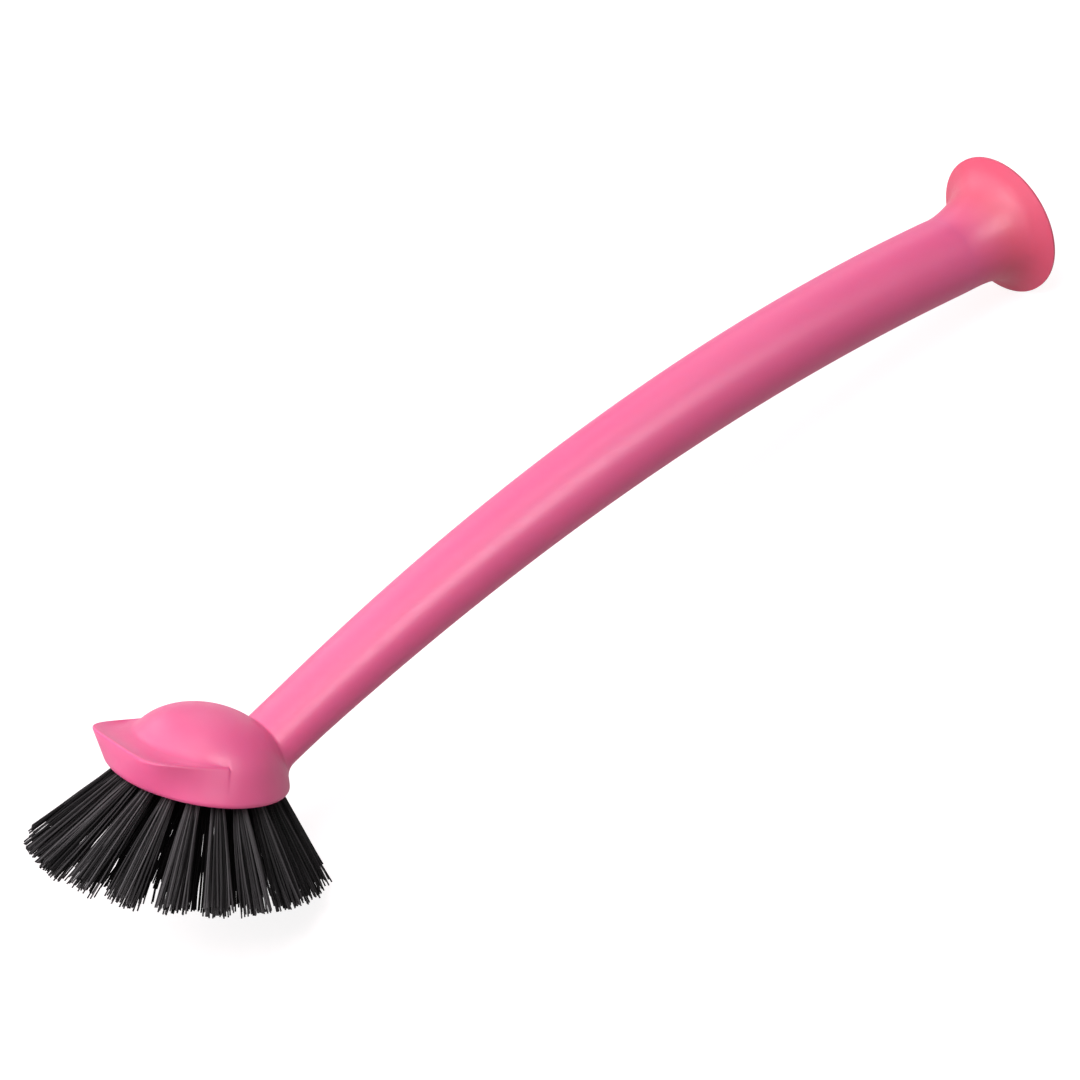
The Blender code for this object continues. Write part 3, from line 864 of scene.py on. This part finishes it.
def tuft_places(sizes):
    """Name, placing matrix and length of every tuft. Local +Z runs out along the tuft."""
    for ring, phase, part, depth_part in TUFT_RINGS:
        tufts = getattr(sizes, f"{ring}_tufts")
        for index in range(tufts):
            azimuth = 2 * math.pi * (index + phase) / tufts
            outward = Vector((math.cos(azimuth), math.sin(azimuth), 0))
            root = Vector((
                sizes.ring_half_length * part * outward.x,
                sizes.ring_half_width * part * outward.y, 0,
            ))
            tip_azimuth = azimuth - sizes.fan_turn * math.sin(azimuth)
            tip = Vector((
                sizes.fan_half_length * part * math.cos(tip_azimuth) - sizes.fan_forward,
                sizes.fan_half_width * part * math.sin(tip_azimuth),
                -sizes.fan_depth * depth_part,
            ))
            free = tip - root
            yield f"{ring}_tuft_{index + 1:02d}", axes_matrix(root, outward, free), free.length


def outer_painted_light(matrix):
    """How pale a bundle's palest filaments are, as painted light and shade: palest on the lit side,
    least in painted shade on the side towards the handle.
    """
    root = matrix.translation
    turned = math.atan2(root.y, root.x) - PAINTED_LIT_SIDE
    return OUTER_PAINTED_SHADE_TONE + (1 - OUTER_PAINTED_SHADE_TONE) * (0.5 + 0.5 * math.cos(turned)) ** 2


def hole_mesh(sizes):
    """Every tuft hole as one set of rods, each along its own tuft."""
    bm = bmesh.new()
    depth = sizes.hole_depth + HOLE_OVERRUN
    middle = Matrix.Translation((0, 0, depth / 2 - sizes.hole_depth))
    radius = sizes.tuft_radius + sizes.clearance
    for _, matrix, _ in tuft_places(sizes):
        bmesh.ops.create_cone(
            bm, cap_ends=True, segments=HOLE_SIDES, radius1=radius, radius2=radius,
            depth=depth, matrix=matrix @ middle,
        )
    return mesh_of(bm, "holes")


def packed_spots(pitch, limit):
    """Places of closely packed filaments round the middle of a tuft."""
    rows = math.ceil(limit / pitch) + 1
    for row in range(-rows, rows + 1):
        for column in range(-2 * rows, 2 * rows + 1):
            spot = Vector(((column + row / 2) * pitch, row * pitch * math.sqrt(0.75), 0))
            if spot.length < limit:
                yield spot


def tuft_mesh(sizes, matrix, free_length, seed, pitch, spread, painted_paleness):
    """One bundle of separate filaments that stay bound in the hole and fan out below it."""
    draw = random.Random(seed)
    radius = sizes.filament_thickness / 2
    to_world = rest_matrix() @ matrix
    to_local = to_world.inverted()
    bm = bmesh.new()
    tone = bm.faces.layers.float.new("filament_tone_and_shade")
    order = bm.faces.layers.int.new("filament")
    strands = []
    for spot in packed_spots(pitch, sizes.tuft_radius + sizes.clearance / 4):
        root = spot * draw.uniform(1 - ROOT_JITTER, 1 + ROOT_JITTER)
        lean = Vector((draw.gauss(0, TIP_JITTER), draw.gauss(0, TIP_JITTER), 0)) * spread
        tip = root * spread + lean
        shorter = sizes.raggedness * draw.random() ** LENGTH_POWER
        tip.z = free_length + sizes.longest - shorter
        bow = Vector((draw.gauss(0, BOW_JITTER), draw.gauss(0, BOW_JITTER), 0))
        # A filament's tone is random up to its bundle's painted paleness, which paints light or
        # shade by where the bundle lies.
        strands.append((root, tip, bow, painted_paleness * draw.random() ** TONE_POWER))

    def on_strand(strand, part):
        """A point part of the way along, kept above the worktop."""
        root, tip, bow, _ = strand
        neck = root + UP * sizes.stand_out
        point = neck.lerp(tip, part) + bow * hump(part)
        world = to_world @ point
        if world.z < radius:
            world.z = radius
            point = to_local @ world
        return point

    ends = []
    for index, strand in enumerate(strands):
        made = bmesh.ops.create_circle(
            bm, cap_ends=True, segments=sizes.filament_sides, radius=radius,
            matrix=Matrix.Translation(strand[0] - UP * sizes.hole_depth * BOUND_SHARE),
        )
        disc = made["verts"][0].link_faces[0]
        disc[tone] = strand[3]
        disc[order] = index
        ends.append(disc)
    made = bmesh.ops.extrude_face_region(bm, geom=ends)["geom"]
    ends = [item for item in made if isinstance(item, bmesh.types.BMFace)]
    for step in range(sizes.filament_steps + 1):
        if step:
            ends = bmesh.ops.extrude_discrete_faces(bm, faces=ends)["faces"]
        for face in ends:
            move_disc(face, on_strand(strands[face[order]], step / sizes.filament_steps))
    bm.faces.layers.int.remove(order)
    bmesh.ops.recalc_face_normals(bm, faces=bm.faces)
    bmesh.ops.transform(bm, matrix=matrix, verts=bm.verts)
    return mesh_of(bm, "tuft")


def move_disc(face, place):
    middle = face.calc_center_median()
    for vert in face.verts:
        vert.co += place - middle


# Suction cup

SOCKET_PLAY = 0.3 * MM
TRUMPET_STEPS = 44
BOWL_STEPS = 26
RIM_ROUND = 0.45  # of the rim's thickness, which its edge is rounded by
WELD = 0.001 * MM


def cup_profile(neck, sizes):
    """Radius and distance from the seam: the socket, the trumpet's skin, its rim and bowl."""
    head_at = sizes.spigot_neck_length - SOCKET_PLAY
    spigot_length = sizes.spigot_neck_length + sizes.spigot_head_length + sizes.spigot_lead_length
    bottom = spigot_length + SOCKET_PLAY
    profile = [
        (0, bottom),
        (sizes.spigot_head_radius * sizes.spigot_lead + SOCKET_PLAY, bottom),
        (sizes.spigot_head_radius + SOCKET_PLAY, bottom - sizes.spigot_lead_length),
        (sizes.spigot_head_radius + SOCKET_PLAY, head_at),
        (sizes.spigot_neck_radius + SOCKET_PLAY, head_at),
        (sizes.spigot_neck_radius + SOCKET_PLAY, sizes.seam_gap),
    ]
    back = sizes.depth - sizes.rim_thickness
    for step in range(TRUMPET_STEPS + 1):
        part = step / TRUMPET_STEPS
        opening = part ** sizes.flare_start_power * (1 - sizes.flange)
        opening += part ** sizes.flare_end_power * sizes.flange
        radius = neck + (sizes.rim_radius - neck) * opening
        profile.append((radius, sizes.seam_gap + (back - sizes.seam_gap) * part))
    edge = sizes.rim_thickness * RIM_ROUND
    for turn in ROUND_TURNS[1:]:
        profile.append((
            sizes.rim_radius - edge * (1 - math.cos(turn)),
            sizes.depth - edge * (1 - math.sin(turn)),
        ))
    bowl_radius = sizes.rim_radius - sizes.rim_width
    for step in range(BOWL_STEPS):
        part = 1 - step / BOWL_STEPS
        profile.append((bowl_radius * part, sizes.depth - sizes.hollow_depth * (1 - part ** 2)))
    profile.append((0, sizes.depth - sizes.hollow_depth))
    return profile


def cup_mesh(handle, sizes):
    """A turned trumpet with a bowl in its mouth and a socket that fits the spigot."""
    bm = bmesh.new()
    along = bm.verts.layers.float.new("towards_rim")
    profile = cup_profile(handle.grip_diameter / 2, sizes)
    verts = [bm.verts.new((radius, 0, distance)) for radius, distance in profile]
    for vert in verts:
        vert[along] = vert.co.z / sizes.depth
    edges = [bm.edges.new(pair) for pair in zip(verts, verts[1:])]
    bmesh.ops.spin(
        bm, geom=verts + edges, axis=UP, cent=(0, 0, 0),
        angle=2 * math.pi, steps=sizes.sides, use_merge=True,
    )
    bmesh.ops.remove_doubles(bm, verts=bm.verts, dist=WELD)
    bmesh.ops.recalc_face_normals(bm, faces=bm.faces)
    for vert in bm.verts:
        rest = max(0, 1 - vert.co.z / sizes.turn_length)
        vert.co.x += math.tan(sizes.cant) * vert.co.z * rest * rest
    end, axis, upward = cup_axis(handle, sizes)
    bmesh.ops.transform(bm, matrix=axes_matrix(end, -upward, axis), verts=bm.verts)
    return mesh_of(bm, "cup")


# Operators


class DISHBRUSH_OT_body(bpy.types.Operator):
    """Mould the handle and the head in one piece, with a hole for every tuft"""

    bl_idname = "dishbrush.body"
    bl_label = "Handle and head"

    def execute(self, context):
        sizes = context.scene.dish_brush
        head = head_mesh(sizes.head)
        bm = bmesh.new()
        bm.from_mesh(head)
        tree = BVHTree.FromBMesh(bm)
        bm.free()
        handle = handle_mesh(sizes.handle, sizes.cup, tree)
        holes = hole_mesh(sizes.bristles)
        body = combined(head, [("UNION", handle), ("DIFFERENCE", holes)])
        material = shared_material("pink_plastic", dress_plastic)
        finished("moulded_body", body, material, ["handle_body"], MOULDED_CREASE)
        return {"FINISHED"}


class DISHBRUSH_OT_cup(bpy.types.Operator):
    """Turn the suction cup on the handle's end"""

    bl_idname = "dishbrush.cup"
    bl_label = "Suction cup"

    def execute(self, context):
        sizes = context.scene.dish_brush
        mesh = cup_mesh(sizes.handle, sizes.cup)
        material = shared_material("cup_rubber", dress_rubber)
        finished("soft_cup", mesh, material, ["suction_cup"], MOULDED_CREASE)
        return {"FINISHED"}


class DISHBRUSH_OT_bristles(bpy.types.Operator):
    """Fill every hole with a bundle of black filaments"""

    bl_idname = "dishbrush.bristles"
    bl_label = "Bristles"

    def execute(self, context):
        bristles = context.scene.dish_brush.bristles
        material = shared_material("black_nylon", dress_bristle)
        for seed, (node, matrix, free) in enumerate(tuft_places(bristles)):
            # Outer tufts get painted light or shade by their side, the inner ones painted shade.
            if node.startswith("outer"):
                look = bristles.filament_pitch, bristles.fan_spread, outer_painted_light(matrix)
            else:
                look = bristles.inner_pitch, bristles.inner_spread, INNER_PAINTED_SHADE_TONE
            mesh = tuft_mesh(bristles, matrix, free, seed, *look)
            name = node.replace("tuft", "filaments")
            finished(name, mesh, material, [node], FILAMENT_CREASE)
        return {"FINISHED"}


class DISHBRUSH_OT_anchors(bpy.types.Operator):
    """Give the metal strips in the tufts' folds their finish"""

    bl_idname = "dishbrush.anchors"
    bl_label = "Anchors"

    def execute(self, context):
        material = shared_material("anchor_strip", dress_steel)
        strips = [node for name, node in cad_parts.items() if "anchor" in name]
        if not strips:
            raise RuntimeError("the packed model has no anchors")
        for strip in strips:
            strip.data.materials.clear()
            strip.data.materials.append(material)
        return {"FINISHED"}


# Floor, lights and camera

FLOOR_REACH = 4.0
SENSOR_WIDTH = 36.0
LAMP_SIZE = 0.6

# Name, place to the right of, above and before the brush as the camera sees it, watts, and
# whether it lights matt surfaces too or shows in the sheen alone
LAMPS = (
    ("key", (-0.376, 0.484, 0.914), 10.4, True),
    ("edge", (-0.717, 0.765, -0.334), 3.3, True),
    ("back", (0.0, 1.032, -0.380), 1.7, True),
    ("side", (-0.933, -0.439, 0.384), 6.0, True),
    ("front", (0.20, -0.50, 0.95), 0.6, True),
    ("front_sheen", (-0.10, -0.05, 1.09), 3.2, False),
    ("sheen", (0.52, 0.43, 0.88), 12.0, False),
    ("top_sheen", (0.0, 0.988, 0.483), 3.4, False),
    ("rim_sheen", (-0.66, 0.80, 0.30), 3.2, False),
)


def add_floor():
    bm = bmesh.new()
    bmesh.ops.create_grid(bm, x_segments=1, y_segments=1, size=FLOOR_REACH)
    mesh = mesh_of(bm, "floor")
    mesh.materials.append(shared_material("pale_floor", dress_floor))
    put("floor", mesh)


def add_room(scene):
    """A plain bright room."""
    world = bpy.data.worlds.new("studio")
    world.use_nodes = True
    background = world.node_tree.nodes["Background"]
    background.inputs["Color"].default_value = WHITE
    background.inputs["Strength"].default_value = scene.dish_brush.studio.surroundings
    scene.world = world


def add_camera(scene):
    """The camera at the photograph's angle. Returns how it is turned."""
    studio = scene.dish_brush.studio
    eye = Vector(studio.camera_location)
    sight = Vector(studio.camera_target) - eye
    data = bpy.data.cameras.new("camera")
    data.lens = studio.lens
    data.sensor_width = SENSOR_WIDTH
    camera = put("camera", data)
    camera.location = eye
    camera.rotation_mode = "QUATERNION"
    level = sight.to_track_quat("-Z", "Y")
    camera.rotation_quaternion = level @ Quaternion(UP, studio.camera_roll)
    scene.camera = camera
    return camera.rotation_quaternion


def add_lamp(name, place, watts, lights_matt):
    """A soft square light at a place, turned to the brush."""
    data = bpy.data.lights.new(name, "AREA")
    data.size = LAMP_SIZE
    data.energy = watts
    lamp = put(name, data)
    lamp.location = place
    lamp.rotation_mode = "QUATERNION"
    lamp.rotation_quaternion = (-place).to_track_quat("-Z", "Y")
    lamp.visible_diffuse = lights_matt


class DISHBRUSH_OT_stage(bpy.types.Operator):
    """Set up the plain floor, the soft lights and the camera"""

    bl_idname = "dishbrush.stage"
    bl_label = "Floor, lights and camera"

    def execute(self, context):
        scene = context.scene
        add_floor()
        add_room(scene)
        turned = add_camera(scene)
        for name, place, watts, lights_matt in LAMPS:
            add_lamp(name, turned @ Vector(place), watts, lights_matt)
        scene.view_settings.view_transform = "Standard"
        return {"FINISHED"}


class DISHBRUSH_PT_panel(bpy.types.Panel):
    """Lists the pieces of the brush, and their sizes and colours"""

    bl_idname = "DISHBRUSH_PT_panel"
    bl_label = "Dish Brush"
    bl_space_type = "VIEW_3D"
    bl_region_type = "UI"
    bl_category = "Dish Brush"

    def draw(self, context):
        for operator in OPERATORS:
            self.layout.operator(operator.bl_idname)
        for group_name in DishBrush.__annotations__:
            group = getattr(context.scene.dish_brush, group_name)
            column = self.layout.column(align=True)
            column.label(text=group_name.capitalize())
            for name in type(group).__annotations__:
                column.prop(group, name)


OPERATORS = (
    DISHBRUSH_OT_body,
    DISHBRUSH_OT_cup,
    DISHBRUSH_OT_bristles,
    DISHBRUSH_OT_anchors,
    DISHBRUSH_OT_stage,
)
GROUPS = (RestPlace, HeadSizes, HandleSizes, CupSizes, BristleSizes, Finishes, Studio, DishBrush)
CLASSES = (*GROUPS, *OPERATORS, DISHBRUSH_PT_panel)


def register():
    for each in CLASSES:
        bpy.utils.register_class(each)
    bpy.types.Scene.dish_brush = PointerProperty(type=DishBrush)


def unregister():
    del bpy.types.Scene.dish_brush
    for each in reversed(CLASSES):
        bpy.utils.unregister_class(each)


def main():
    register()
    bpy.ops.dishbrush.body()
    bpy.ops.dishbrush.cup()
    bpy.ops.dishbrush.bristles()
    bpy.ops.dishbrush.anchors()
    bpy.ops.dishbrush.stage()


if __name__ == "__main__":
    main()
